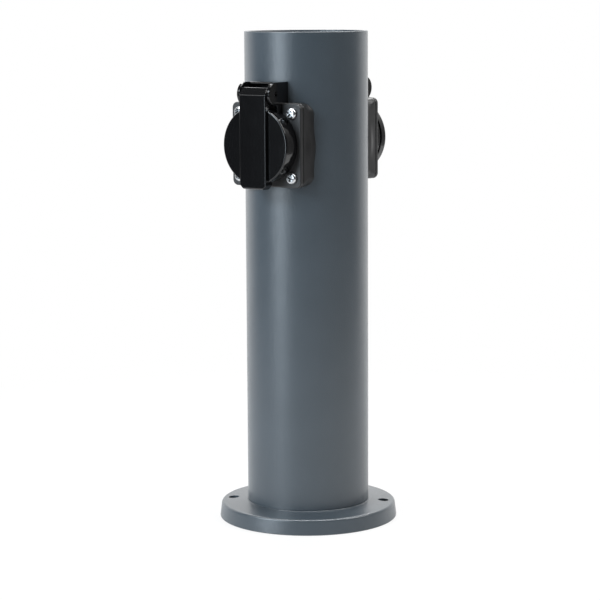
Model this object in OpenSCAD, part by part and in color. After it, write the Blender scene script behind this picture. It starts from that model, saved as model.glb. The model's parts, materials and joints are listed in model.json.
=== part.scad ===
/* [Pillar] */
// Height of the pillar, from the ground to the rim of the tube
pillar_h = 300; // [290:1:400]
// Outer diameter of the round tube
tube_d = 75; // [73:0.5:90]
// Wall thickness of the tube
tube_wall = 2; // [1.5:0.1:3]
// Depth of both socket centres below the rim
socket_drop = 66.5; // [60:0.5:100]
// Depth of the top cap's face below the rim
cap_drop = 1.5; // [0.5:0.1:4]
// Thickness of the top cap
cap_t = 6; // [4:0.5:12]
// Thickness of the ring seal round the top cap
cap_seal_d = 2.2; // [1.6:0.1:3]

/* [Base] */
// Diameter of the base where it meets the ground
base_d = 110; // [109:1:140]
// Height of the base at its outer edge
base_rim_h = 9.5; // [8.5:0.1:10.5]
// Height of the base where the tube stands on it
base_foot_h = 11; // [11:0.1:14]
// Inward lean of the outer wall over its height
base_lean = 1; // [0:0.1:3]
// Radius of the rounded top edge
base_edge_r = 2; // [1:0.1:3]
// Thickness of the base's metal
base_t = 3; // [2.5:0.1:3.5]
// Height of the hub that centres the tube
hub_h = 1.5; // [1:0.1:3]
// Pitch circle diameter of the two ground fixing holes
bolt_pcd = 94; // [90:0.5:96]
// Diameter of the ground fixing holes
bolt_hole_d = 6.5; // [4.5:0.1:7]
// Wall of the bosses round the fixing holes
boss_wall = 3.2; // [2:0.1:4]
// Turn of the fixing holes about the pillar, from the side of the pillar
bolt_angle = 29; // [25:1:60]

/* [Tube fixing] */
// Distance of the tube's threaded blocks from the tube's inner wall, to their screws
nut_inset = 4.5; // [4:0.1:6]
// Width and depth of each threaded block
nut_w = 8; // [7:0.5:10]
// Height of each threaded block
nut_h = 9; // [6:0.5:12]
// Angle of each threaded block from the side of the pillar
nut_angle = 20; // [15:1:25]
// Thread diameter of the base screws
base_screw_d = 4; // [3:0.5:5]
// Reach of the base screws above the base's floor
base_screw_reach = 7; // [4:0.5:9]

/* [Cable gland] */
// Cable diameter that the gland's seal grips
cable_d = 10; // [7:0.5:10.5]
// Thread diameter of the gland
gland_thread_d = 19.8; // [18:0.1:20.5]
// Width across flats of the gland's body and nuts
gland_flats = 24; // [23:0.5:26]
// Height of the gland's locknut
locknut_h = 4; // [3:0.5:4.5]
// Thickness of the gland's sealing washer
gland_washer_t = 1; // [0.5:0.1:1.5]
// Height of the gland body's hexagon
gland_hex_h = 5; // [4:0.5:7]
// Height of the gland body's neck above its hexagon
gland_neck_h = 7.5; // [6:0.5:10]
// Height of the rubber seal
gland_seal_h = 9.9; // [9:0.1:12]

/* [Terminals] */
// Width of the terminal block beyond its outer poles
block_side = 5.5; // [4:0.5:8]
// Depth of the terminal block
block_depth = 16; // [15:0.5:20]
// Height of the terminal block
block_h = 26; // [24:1:32]
// Height of the block's foot above the base's floor
block_lift = 51.5; // [50:0.5:70]
// Width of each brass clamp
clamp_w = 4.8; // [4:0.1:5]
// Thickness of the bracket's sheet
bracket_t = 1.5; // [1:0.1:2]
// Width of the bracket
bracket_w = 28; // [26:1:30]
// Outer diameter of an insulated wire
wire_d = 3; // [2.6:0.1:3.2]
// Diameter of a wire's bare core
core_d = 1.4; // [1.1:0.1:1.6]
// Distance of the wires from the middle plane between the sockets
wire_out = 5; // [4.9:0.1:5.2]

/* [Socket plate and frame] */
// Plate left beside the collar at each side, which makes the square plate's width
plate_margin = 2.5; // [2:0.1:5]
// Thickness of the flange plate
plate_t = 2.7; // [2:0.1:4]
// Corner radius of the flange plate and the frame
plate_corner_r = 3.5; // [2:0.1:5]
// Radius of the plate's rounded front edge
plate_edge_r = 0.8; // [0.3:0.1:1.2]
// Thickness of the frame at its crown, where it is thinnest
frame_crown = 1.7; // [1.6:0.1:4]
// Visible seam between the frame and the flange plate
seam = 0.2; // [0.1:0.05:0.4]
// Gap between the collar and the heads of the plate's screws
head_gap = 0.97; // [0.5:0.01:1.5]
// Shank diameter of the plate's screws
screw_d = 3.2; // [2.5:0.1:3.5]
// Head diameter of the plate's screws
screw_head_d = 6.8; // [5.5:0.1:7.5]
// Length of the plate's screws under the head
screw_l = 16; // [14:0.5:20]
// Thickness of both gaskets
gasket_t = 0.5; // [0.4:0.05:0.7]
// Width by which both gaskets stay back from the frame's outline
gasket_inset = 2; // [1.5:0.1:2.5]

/* [Socket well] */
// Wall of the collar round the well, which the lid closes on
collar_wall = 2.8; // [2.3:0.1:3.5]
// Height of the collar above the plate
collar_h = 6.4; // [5:0.1:8]
// Diameter of the well that takes a plug
well_d = 39.4; // [36:0.1:42]
// Depth of the well
well_depth = 17.5; // [16.5:0.1:18.5]
// Wall of the well behind the plate
well_wall = 1.8; // [1.5:0.1:1.9]
// Spacing of the two plug pins
pin_spacing = 19; // [18.6:0.1:19.4]
// Bore of the brass contact sleeves
contact_bore_d = 4.9; // [4.7:0.05:5.1]
// Outer diameter of the contact sleeves
contact_d = 6.8; // [6.4:0.1:7]
// Length of the contact bores
contact_depth = 14; // [12:0.5:16]
// Width of the guide ribs
rib_w = 5.3; // [4:0.1:6]
// Height of the guide ribs above the well's wall
rib_rise = 2.5; // [1.5:0.1:3]
// Thickness of the insert's floor over the contact sleeves
floor_t = 1.5; // [1:0.1:2]
// Thickness of the rear cover behind the contact carrier
cover_t = 1.2; // [0.8:0.1:1.6]
// Width of the earth clips
clip_w = 5; // [4:0.1:6]
// Thickness of the earth clips' metal
clip_t = 1; // [0.6:0.1:1.2]

/* [Lid] */
// Overhang of the lid past the collar
lid_over = 0.7; // [0.4:0.1:1.5]
// Height of the lid's side wall
lid_h = 5; // [4.5:0.1:6]
// Thickness of the lid's skin
lid_skin = 2; // [1.5:0.1:2.2]
// Thickness of the lid's side wall
lid_wall = 1.6; // [1:0.1:1.8]
// Gap between the shut lid and the collar
lid_gap = 0.2; // [0.15:0.05:0.4]
// Width of the strap across the lid
strap_w = 18.3; // [16:0.1:19]
// Rise of the strap above the lid's face
strap_rise = 2.3; // [1.5:0.1:2.5]
// Reach of the strap past the plate's lower edge
strap_over = 0.5; // [0:0.1:3]
// Radius of the strap's long front edges
strap_edge_r = 0.8; // [0.3:0.1:1.2]
// Height of the small lug on the lid's side wall
lug_rise = 0.8; // [0.4:0.1:1.2]

/* [Hinge] */
// Height of the hinge pin above the plate's upper edge
hinge_rise = 5.5; // [5:0.1:7]
// Diameter of the hinge pin
pin_d = 3; // [2:0.1:3.2]
// Radius of the rounded hinge cheeks
cheek_r = 6.9; // [6.6:0.1:7.2]
// Thickness of the hinge cheeks
cheek_t = 2; // [1.5:0.1:3]
// Gap between the strap and each cheek
cheek_gap = 0.45; // [0.3:0.05:0.6]
// Outer radius of the lid's hinge knuckles
knuckle_r = 3.4; // [3:0.1:3.8]
// Width of each lid knuckle
knuckle_w = 4.7; // [4:0.1:5.5]
// Wire diameter of the lid's spring
spring_wire_d = 0.8; // [0.5:0.05:0.9]
// Mean radius of the spring's coils
spring_r = 2.6; // [2.4:0.05:2.8]
// Pitch of the spring's coils
spring_pitch = 1.25; // [1.2:0.05:1.5]
// Whole turns of the spring
spring_turns = 4; // [3:1:5]

/* [Hidden] */

$fn = 96;
// Overshoot of a cut beyond the face that it opens
eps = 0.5;
// Clearance of a fixed piece in its seat
slip = 0.1;
// Clearance round a screw's shank in a plain hole
screw_clear = 0.3;
// Clearance of a threaded shank in its simplified thread
thread_clear = 0.05;

COAT = "#3d474f";
BLACK = "#1b1b1d";
GREY = "#2b2c2e";
ZINC = "#c9ccce";
BRASS = "#c9a24a";
RUBBER = "#141414";
NYLON = "#e4e4de";

// Pillar, worked out
socket_z = pillar_h - socket_drop;
tube_r = tube_d / 2;
bore_r = tube_r - tube_wall;
floor_top = base_foot_h + hub_h;
floor_under = floor_top - base_t;
cap_top = pillar_h - cap_drop;
cap_mid = cap_top - cap_t / 2;
nut_ring_r = bore_r - nut_inset;
base_r = base_d / 2;
rim_r = base_r - base_lean;
boss_r = bolt_hole_d / 2 + boss_wall;

// Gland heights, upward from the floor
gland_seat_r = cable_d / 2 + 2.6;
gland_bore_r = cable_d / 2 + 0.6;
gland_hex_z = floor_top + gland_washer_t;
gland_neck_z = gland_hex_z + gland_hex_h;
gland_rim_z = gland_neck_z + gland_neck_h;
gland_neck_r = gland_seat_r + 1.3;
gland_seal_z = gland_neck_z + 1.6;
gland_seal_top = gland_seal_z + gland_seal_h;
gland_top = gland_seal_top + 4;
gland_nut_z = gland_neck_z + 0.3;

// Terminal block and its bracket, its poles in line with the socket pins
pole_pitch = pin_spacing / 2;
block_z = floor_top + block_lift;
block_top = block_z + block_h;
block_half_w = pole_pitch + block_side;
block_back = block_depth / 2;
clamp_end = 4;
clamp_half_y = wire_out + core_d / 2 + 0.7;
entry_depth = 3;
leg_y = gland_flats / sqrt(3) + 2.2;
deck_z = gland_top + 5;
foot_y = 29;
foot_screw_y = leg_y + bracket_t + 6.5;
foot_screw_x = 8;
lug_drop = 15;
lug_z = block_z - lug_drop;
lug_tongue_t = 1;
lug_tongue_r = 3.6;
lug_barrel_top = block_z - 5;
lug_barrel_h = 6;
small_screw_d = 2.5;
block_head_d = 4.4;
block_head_h = 1.3;
bracket_screw_d = 4;
bracket_head_d = 7.5;
screw_head_h = 2.4;

// Socket widths, from the well outward
well_r = well_d / 2;
well_out_r = well_r + well_wall;
collar_d = well_d + 2 * collar_wall;
plate_w = collar_d + 2 * plate_margin;
screw_at = (collar_d / 2 + screw_head_d / 2 + head_gap) / sqrt(2);
lid_d = collar_d + 2 * lid_over;
strap_drop = plate_w / 2 + strap_over;
hinge_up = plate_w / 2 + hinge_rise;
cutout_r = well_out_r + 0.7;
pad_h = 16;
pad_rise = 0.4;

// Socket distances from the pillar's axis, outward
plate_back = tube_r + frame_crown;
plate_front = plate_back + plate_t;
collar_front = plate_front + collar_h;
floor_out = collar_front - well_depth;
frame_front = plate_back - seam;
insert_seat = floor_out - 2.2;
insert_flange_t = 2;
insert_r = well_r - slip;
carrier_front = insert_seat - insert_flange_t - slip;
carrier_back = 3;
contact_front = floor_out - floor_t - slip;
contact_back = contact_front - contact_depth;
terminal_front = wire_out + 4.7;
terminal_back = carrier_back + 0.3;
terminal_half_w = contact_d / 2;
terminal_half_h = 4.2;
clamp_screw_w = -2.2;
clamp_head_d = 3.6;
earth_top = -insert_r - 0.9;
earth_drop = 6.5;
clip_in = well_r - 2.5;
clip_front = collar_front - 3.8;

// Lid and hinge distances
lid_back = collar_front + lid_gap;
lid_front = lid_back + lid_h;
strap_front = lid_front + strap_rise;
strap_back = lid_front - lid_skin + 0.2;
hinge_out = collar_front - 0.3;
strap_half = strap_w / 2;
cheek_in = strap_half + cheek_gap;
cheek_out = cheek_in + cheek_t;
hood_t = 1.8;
hood_front = hinge_out - 2.6;
hood_clear_r = cheek_r - 0.1;
web_front = collar_front - 1.8;
back_wall_front = plate_back + 1.8;
strap_top = hinge_up + 3.5;
slope_start = hinge_up - 0.2;
slope_fall = 3.2;
pin_clear = 0.05;

// Points along an arc, for a profile
function arc(cx, cy, r, from, to, steps = 8) = [
    for (i = [0:steps]) let (a = from + (to - from) * i / steps) [cx + r * cos(a), cy + r * sin(a)]
];

// Faces of a tube made of rings of n points each
function skin_faces(rings, n) = concat(
    [[for (k = [n - 1:-1:0]) k]],
    [for (i = [0:rings - 2], k = [0:n - 1]) [
        i * n + k, i * n + (k + 1) % n, (i + 1) * n + (k + 1) % n
    ]],
    [for (i = [0:rings - 2], k = [0:n - 1]) [
        i * n + k, (i + 1) * n + (k + 1) % n, (i + 1) * n + k
    ]],
    [[for (k = [0:n - 1]) (rings - 1) * n + k]]
);

// Places its children on the front of the pillar: X across, Y up, Z out from the axis
module on_front() {
    translate([0, 0, socket_z]) rotate([90, 0, 0]) children();
}

// The same on the rear
module on_rear() {
    rotate([0, 0, 180]) on_front() children();
}

// Extrudes a profile drawn as (height, distance out) across the socket
module across(w) {
    rotate([90, 0, 90]) linear_extrude(w, center = true) children();
}

// Copies its children to both sides
module both_sides() {
    children();
    mirror([1, 0, 0]) children();
}

// The pillar's round space, seen from a socket
module pillar_space(r) {
    rotate([90, 0, 0]) cylinder(h = 2 * plate_w, r = r, center = true);
}

module rounded_square(w, r) {
    square([w - 2 * r, w], center = true);
    square([w, w - 2 * r], center = true);
    for (x = [-1, 1], y = [-1, 1]) translate([x * (w / 2 - r), y * (w / 2 - r)]) circle(r);
}

// Square plate with a rounded front edge
module soft_plate(w, t, corner, edge) {
    hull() for (x = [-1, 1], y = [-1, 1]) translate([x * (w / 2 - corner), y * (w / 2 - corner), 0])
        rotate_extrude($fn = 32)
            polygon(concat([[0, 0], [corner, 0]], arc(corner - edge, t - edge, edge, 0, 90, 5), [[0, t]]));
}

// Cross-head screw: its seat at zero, its head up and its shank down
module screw(d, l, head_d, head_h) {
    r = head_d / 2;
    dome = head_h * 0.6;
    recess_w = head_d * 0.17;
    difference() {
        union() {
            rotate_extrude() polygon(concat(
                [[0, 0], [r, 0]], arc(r - dome, head_h - dome, dome, 0, 90, 6), [[0, head_h]]
            ));
            translate([0, 0, -l]) cylinder(h = l + head_h / 4, r = d / 2);
        }
        for (a = [0, 90]) rotate([0, 0, a])
            translate([-r * 0.52, -recess_w / 2, head_h * 0.4]) cube([r * 1.04, recess_w, head_h]);
    }
}

module plate_holes(r, from, to) {
    for (x = [-1, 1], y = [-1, 1]) translate([x * screw_at, y * screw_at, from])
        cylinder(h = to - from, r = r);
}

// Base

module base_outline() {
    polygon(concat(
        [[0, 0], [base_r, 0]],
        arc(rim_r - base_edge_r, base_rim_h - base_edge_r, base_edge_r, 0, 86, 8),
        [[tube_r + 0.6, base_foot_h], [bore_r - 2 * slip, base_foot_h]],
        [[bore_r - 2 * slip, floor_top], [0, floor_top]]
    ));
}

module base_hollow() {
    polygon([
        [0, -eps], [base_r - base_t, -eps], [rim_r - base_t, base_rim_h - base_t - 1.5],
        [rim_r - base_t - 1.5, base_rim_h - base_t], [tube_r + 1, base_foot_h - base_t],
        [bore_r, floor_under], [0, floor_under]
    ]);
}

module bolt_places() {
    for (side = [0, 180]) rotate([0, 0, bolt_angle + side]) translate([bolt_pcd / 2, 0, 0]) children();
}

module nut_places() {
    for (a = [nut_angle, 180 - nut_angle, 180 + nut_angle, -nut_angle]) rotate([0, 0, a])
        translate([nut_ring_r, 0, 0]) children();
}

module base_flange() {
    color(COAT) difference() {
        union() {
            difference() {
                rotate_extrude($fn = 144) base_outline();
                rotate_extrude($fn = 144) base_hollow();
            }
            intersection() {
                rotate_extrude($fn = 144) base_outline();
                bolt_places() cylinder(h = base_rim_h - base_t + 1, r = boss_r);
            }
        }
        bolt_places() translate([0, 0, -eps]) cylinder(h = floor_top, r = bolt_hole_d / 2);
        translate([0, 0, floor_under - eps])
            cylinder(h = base_t + 2 * eps, r = gland_thread_d / 2 + slip);
        nut_places() translate([0, 0, floor_under - eps])
            cylinder(h = base_t + 2 * eps, r = base_screw_d / 2 + screw_clear);
        both_sides() translate([foot_screw_x, foot_screw_y, floor_under - eps])
            cylinder(h = base_t + 2 * eps, r = bracket_screw_d / 2 + thread_clear);
    }
}

module base_screws() {
    color(ZINC) nut_places() translate([0, 0, floor_under]) mirror([0, 0, 1])
        screw(base_screw_d, base_t + base_screw_reach, 1.9 * base_screw_d, 0.6 * base_screw_d);
}

// Tube and cap

module tube() {
    color(COAT) difference() {
        translate([0, 0, base_foot_h]) cylinder(h = pillar_h - base_foot_h, r = tube_r, $fn = 144);
        translate([0, 0, base_foot_h - eps]) cylinder(h = pillar_h, r = bore_r, $fn = 144);
        on_front() cylinder(h = tube_d, r = cutout_r);
        on_rear() cylinder(h = tube_d, r = cutout_r);
        on_front() plate_holes(screw_d / 2 + thread_clear, 0, tube_d);
        on_rear() plate_holes(screw_d / 2 + thread_clear, 0, tube_d);
    }
}

module tube_nuts() {
    color(ZINC) difference() {
        intersection() {
            nut_places() translate([-nut_w / 2, -nut_w / 2, floor_top + 2 * slip])
                cube([nut_w * 2, nut_w, nut_h]);
            cylinder(h = pillar_h, r = bore_r - slip / 2, $fn = 144);
        }
        nut_places() translate([0, 0, floor_under])
            cylinder(h = nut_h + base_t + 2 * eps, r = base_screw_d / 2 + thread_clear);
    }
}

module top_cap() {
    chamfer = 0.6;
    groove_r = bore_r - slip / 2 - cap_seal_d;
    color(COAT) difference() {
        translate([0, 0, cap_top - cap_t]) cylinder(h = cap_t - chamfer, r = bore_r - slip, $fn = 144);
        translate([0, 0, cap_mid - cap_seal_d / 2 - slip]) difference() {
            cylinder(h = cap_seal_d + 2 * slip, r = bore_r + eps, $fn = 144);
            cylinder(h = cap_seal_d + 2 * slip, r = groove_r - slip, $fn = 144);
        }
    }
    color(COAT) translate([0, 0, cap_top - chamfer])
        cylinder(h = chamfer, r1 = bore_r - slip, r2 = bore_r - slip - chamfer, $fn = 144);
}

module cap_seal() {
    color(RUBBER) translate([0, 0, cap_mid]) rotate_extrude($fn = 144)
        translate([bore_r - slip / 2 - cap_seal_d / 2, 0]) circle(cap_seal_d / 2, $fn = 24);
}

// Cable gland, on the pillar's axis

module hexagon(z, h) {
    translate([0, 0, z]) cylinder(h = h, r = gland_flats / sqrt(3), $fn = 6);
}

module gland_body() {
    color(BLACK) difference() {
        union() {
            translate([0, 0, floor_under - locknut_h - 1])
                cylinder(h = base_t + locknut_h + 1 + gland_washer_t + 1, r = gland_thread_d / 2);
            hexagon(gland_hex_z, gland_hex_h);
            translate([0, 0, gland_hex_z]) cylinder(h = gland_rim_z - gland_hex_z, r = gland_neck_r);
        }
        cylinder(h = gland_top, r = gland_bore_r);
        translate([0, 0, gland_seal_z - slip]) cylinder(h = gland_top, r = gland_seat_r);
    }
}

module gland_nut() {
    color(BLACK) difference() {
        union() {
            hexagon(gland_nut_z, gland_rim_z - gland_nut_z + 1.5);
            translate([0, 0, gland_rim_z]) cylinder(h = gland_top - gland_rim_z, r1 = gland_flats / 2 - 0.2,
                r2 = gland_bore_r + 2);
        }
        translate([0, 0, gland_nut_z - eps])
            cylinder(h = gland_rim_z - gland_nut_z + 2 * eps, r = gland_neck_r + slip);
        cylinder(h = gland_seal_top + slip, r = gland_seat_r);
        cylinder(h = gland_top + eps, r = gland_bore_r);
    }
}

module gland_seal() {
    color(RUBBER) translate([0, 0, gland_seal_z]) difference() {
        cylinder(h = gland_seal_h, r = gland_seat_r - slip);
        translate([0, 0, -eps]) cylinder(h = gland_seal_h + 2 * eps, r = cable_d / 2);
    }
}

module gland_washer() {
    color(RUBBER) translate([0, 0, floor_top]) difference() {
        cylinder(h = gland_washer_t, r = gland_flats / 2 - 0.5);
        translate([0, 0, -eps]) cylinder(h = gland_washer_t + 2 * eps, r = gland_thread_d / 2 + slip);
    }
}

module gland_locknut() {
    color(BLACK) difference() {
        hexagon(floor_under - locknut_h, locknut_h);
        translate([0, 0, floor_under - locknut_h - eps])
            cylinder(h = locknut_h + 2 * eps, r = gland_thread_d / 2 + slip);
    }
}

// Terminal block on its bracket

module bracket_side() {
    polygon([
        [foot_y, floor_top], [leg_y, floor_top], [leg_y, deck_z], [block_back, deck_z],
        [block_back, block_top], [block_back + bracket_t, block_top],
        [block_back + bracket_t, deck_z + bracket_t], [leg_y + bracket_t, deck_z + bracket_t],
        [leg_y + bracket_t, floor_top + bracket_t], [foot_y, floor_top + bracket_t]
    ]);
}

module block_screw_places() {
    both_sides() translate([pole_pitch / 2, 0, block_z + block_h / 2]) rotate([90, 0, 0]) children();
}

module terminal_bracket() {
    color(ZINC) difference() {
        rotate([90, 0, 90]) linear_extrude(bracket_w, center = true) bracket_side();
        both_sides() translate([foot_screw_x, foot_screw_y, floor_top - eps])
            cylinder(h = bracket_t + 2 * eps, r = bracket_screw_d / 2 + screw_clear);
        block_screw_places() translate([0, 0, -block_back - bracket_t - eps])
            cylinder(h = bracket_t + 2 * eps, r = small_screw_d / 2 + thread_clear);
        translate([0, block_back - eps, lug_z]) rotate([-90, 0, 0])
            cylinder(h = bracket_t + 2 * eps, r = bracket_screw_d / 2 + thread_clear);
    }
}

module bracket_screws() {
    color(ZINC) both_sides() translate([foot_screw_x, foot_screw_y, floor_top + bracket_t])
        screw(bracket_screw_d, bracket_t + base_t + 1, bracket_head_d, screw_head_h);
}

module pole_places() {
    for (x = [-1, 0, 1]) translate([x * pole_pitch, 0, 0]) children();
}

// Wire entries of one pole, from a face of the block inward
module entries(core_depth) {
    for (y = [-1, 1]) translate([0, y * wire_out, 0]) {
        translate([0, 0, -entry_depth]) cylinder(h = entry_depth + eps, r = wire_d / 2 + 2 * slip);
        translate([0, 0, -core_depth]) cylinder(h = core_depth, r = core_d / 2 + 1.5 * slip);
    }
}

module terminal_block() {
    color(NYLON) difference() {
        translate([-block_half_w, -block_back, block_z]) cube([2 * block_half_w, block_depth, block_h]);
        pole_places() translate([-clamp_w / 2 - slip, -clamp_half_y - slip, block_z + clamp_end - slip])
            cube([clamp_w + 2 * slip, 2 * (clamp_half_y + slip), block_h - 2 * (clamp_end - slip)]);
        pole_places() translate([0, 0, block_top]) entries(clamp_end + eps);
        pole_places() translate([0, 0, block_z]) mirror([0, 0, 1]) entries(clamp_end + eps);
        block_screw_places() translate([0, 0, -block_depth])
            cylinder(h = 2 * block_depth, r = small_screw_d / 2 + slip);
        block_screw_places() translate([0, 0, block_back - block_head_h - slip])
            cylinder(h = block_depth, r = block_head_d / 2 + slip);
    }
}

module terminal_clamps() {
    color(BRASS) difference() {
        pole_places() translate([-clamp_w / 2, -clamp_half_y, block_z + clamp_end])
            cube([clamp_w, 2 * clamp_half_y, block_h - 2 * clamp_end]);
        pole_places() translate([0, 0, block_top]) entries(clamp_end + 7);
        pole_places() translate([0, 0, block_z]) mirror([0, 0, 1]) entries(clamp_end + 7);
    }
}

module block_screws() {
    color(ZINC) block_screw_places() translate([0, 0, block_back - block_head_h])
        screw(small_screw_d, block_depth - block_head_h + bracket_t + 1, block_head_d, block_head_h);
}

module earth_lug() {
    front = block_back - lug_tongue_t;
    color(ZINC) difference() {
        union() {
            translate([0, front, lug_z]) rotate([-90, 0, 0]) cylinder(h = lug_tongue_t, r = lug_tongue_r);
            translate([-wire_d / 2, front, lug_z])
                cube([wire_d, lug_tongue_t, lug_barrel_top - lug_barrel_h + 2 - lug_z]);
            translate([-wire_d / 2, wire_out, lug_barrel_top - lug_barrel_h])
                cube([wire_d, block_back - wire_out, 2]);
            translate([0, wire_out, lug_barrel_top - lug_barrel_h])
                cylinder(h = lug_barrel_h, r = wire_d / 2 + 0.3);
        }
        translate([0, front - eps, lug_z]) rotate([-90, 0, 0])
            cylinder(h = lug_tongue_t + 2 * eps, r = bracket_screw_d / 2 + slip);
        translate([0, wire_out, lug_barrel_top - lug_barrel_h + 2])
            cylinder(h = lug_barrel_h, r = core_d / 2 + slip);
    }
}

module earth_screw() {
    color(ZINC) translate([0, block_back - lug_tongue_t, lug_z]) rotate([90, 0, 0])
        screw(bracket_screw_d, lug_tongue_t + bracket_t + 1, 0.85 * bracket_head_d, 0.8 * screw_head_h);
}

// Wires

// Straight wire from one height to another, with bare cores beyond both ends
module wire(x, y, from, to, bare_low, bare_high) {
    translate([x, y, from]) cylinder(h = to - from, r = wire_d / 2);
    translate([x, y, from - bare_low]) cylinder(h = to - from + bare_low + bare_high, r = core_d / 2);
}

wire_low = block_top - entry_depth + slip;
core_low = clamp_end - entry_depth + 6;

module pin_wires(x) {
    high = socket_z - terminal_half_h - 4 * slip;
    for (y = [-1, 1]) wire(x, y * wire_out, wire_low, high, core_low, terminal_half_h - 0.5);
}

module brown_wires() {
    color("#6b3f22") pin_wires(pole_pitch);
}

module blue_wires() {
    color("#2b5fa8") pin_wires(-pole_pitch);
}

module earth_wires() {
    high = socket_z + earth_top - earth_drop - 3 * slip;
    color("#7da02c") {
        for (y = [-1, 1]) wire(0, y * wire_out, wire_low, high, core_low, earth_drop - 1);
        wire(0, wire_out, lug_barrel_top + 3 * slip, block_z + entry_depth - slip,
            lug_barrel_h - 2, core_low);
    }
}

// One socket, in its own frame: X across, Y up, Z out from the pillar's axis

module cheek_side() {
    translate([hinge_up, hinge_out]) circle(cheek_r);
    translate([hinge_up - cheek_r, tube_r - 6]) square([2 * cheek_r, hinge_out - tube_r + 6]);
    translate([well_r - 2, plate_back + 1]) square([hinge_up - well_r, web_front - plate_back - 1]);
}

module hood_side() {
    difference() {
        translate([hinge_up + cheek_r - hood_t, tube_r - 6]) square([hood_t, hood_front - tube_r + 6]);
        translate([hinge_up, hinge_out]) circle(hood_clear_r);
    }
    translate([plate_w / 2 - 1, tube_r - 6])
        square([hinge_up + cheek_r - plate_w / 2 + 1, back_wall_front - tube_r + 6]);
}

// Keeps the hinge block's foot above the frame
module hinge_block() {
    difference() {
        union() {
            both_sides() translate([cheek_in + cheek_t / 2, 0, 0]) across(cheek_t) cheek_side();
            across(2 * cheek_in + 0.2) hood_side();
        }
        pillar_space(tube_r + slip);
        translate([-plate_w / 2, plate_w / 2 + slip - plate_w, 0]) cube([plate_w, plate_w, plate_back]);
    }
}

module housing() {
    color(BLACK) difference() {
        union() {
            translate([0, 0, plate_back]) soft_plate(plate_w, plate_t, plate_corner_r, plate_edge_r);
            translate([0, 0, plate_back]) cylinder(h = collar_front - plate_back, r = collar_d / 2);
            translate([0, 0, insert_seat]) cylinder(h = plate_front - insert_seat, r = well_out_r);
            hinge_block();
        }
        translate([0, 0, insert_seat - eps]) cylinder(h = collar_front, r = well_r);
        plate_holes(screw_d / 2 + screw_clear, plate_back - eps, plate_front + eps);
        translate([0, hinge_up, hinge_out]) rotate([0, 90, 0])
            cylinder(h = plate_w, r = pin_d / 2 + 0.02, center = true);
    }
    color(BLACK) both_sides() intersection() {
        translate([well_r - rib_rise, -rib_w / 2, floor_out + slip])
            cube([well_wall + rib_rise - 0.5, rib_w, well_depth - 1.5]);
        cylinder(h = collar_front, r = well_r + well_wall / 2);
    }
}

module pin_places() {
    for (x = [-1, 1]) translate([x * pin_spacing / 2, 0, 0]) children();
}

// Clamp screw's axis at each pin terminal, pointing outward across the socket
module clamp_screw_places() {
    both_sides() translate([pin_spacing / 2, clamp_screw_w, wire_out]) rotate([0, 90, 0]) children();
}

// Slots for the two arms of the earth clip
module clip_slots() {
    for (y = [-1, 1]) translate([0, y * (clip_in + clip_t / 2), 0])
        translate([-clip_w / 2 - 2 * slip, -clip_t / 2 - 2 * slip, 0])
            cube([clip_w + 4 * slip, clip_t + 4 * slip, collar_front]);
}

// Floor of the well, seated behind the well's wall
module insert() {
    color(NYLON) difference() {
        union() {
            translate([0, 0, insert_seat - insert_flange_t])
                cylinder(h = floor_out - insert_seat + insert_flange_t, r = insert_r);
            translate([0, 0, insert_seat - insert_flange_t]) cylinder(h = insert_flange_t, r = well_out_r);
        }
        pin_places() {
            cylinder(h = collar_front, r = contact_bore_d / 2);
            cylinder(h = contact_front + slip, r = contact_d / 2 + slip);
        }
        clip_slots();
    }
}

// Carrier behind the floor, with the pockets of the contacts and their terminals
module carrier() {
    pocket = 2 * slip;
    color(NYLON) difference() {
        translate([0, 0, carrier_back]) cylinder(h = carrier_front - carrier_back, r = insert_r);
        pin_places() {
            cylinder(h = collar_front, r = contact_d / 2 + slip);
            translate([-terminal_half_w - pocket, -terminal_half_h - pocket, carrier_back - eps])
                cube([2 * (terminal_half_w + pocket), 2 * (terminal_half_h + pocket),
                    terminal_front + pocket - carrier_back + eps]);
            translate([0, 0, wire_out]) rotate([90, 0, 0]) cylinder(h = plate_w, r = wire_d / 2 + 2 * slip);
        }
        clamp_screw_places() cylinder(h = plate_w, r = clamp_head_d / 2 + slip);
        clip_slots();
        translate([-clip_w / 2 - 2 * slip, -plate_w / 2, carrier_back - eps])
            cube([clip_w + 4 * slip, plate_w / 2 + clip_in + clip_t + 2 * slip, clip_t + 3 * slip + eps]);
    }
}

module insert_cover() {
    color(NYLON) translate([0, 0, carrier_back - cover_t]) cylinder(h = cover_t, r = insert_r);
}

module contacts() {
    color(BRASS) difference() {
        pin_places() {
            translate([0, 0, terminal_front - slip])
                cylinder(h = contact_front - terminal_front + slip, r = contact_d / 2);
            translate([-terminal_half_w, -terminal_half_h, terminal_back])
                cube([2 * terminal_half_w, 2 * terminal_half_h, terminal_front - terminal_back]);
        }
        pin_places() {
            translate([0, 0, contact_back]) cylinder(h = contact_depth + eps, r = contact_bore_d / 2);
            translate([0, 0, wire_out]) rotate([90, 0, 0])
                cylinder(h = terminal_half_h + eps, r = core_d / 2 + slip);
        }
        clamp_screw_places() cylinder(h = plate_w, r = 1.2 + thread_clear);
    }
}

module clip_arm_side() {
    bow = 0.9;
    translate([clip_in, carrier_back + slip]) square([clip_t, clip_front - carrier_back - slip]);
    translate([clip_in, 0])
        polygon([[0.2, clip_front], [-bow, clip_front - 4], [-bow, clip_front - 6], [0.2, clip_front - 11]]);
}

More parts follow.
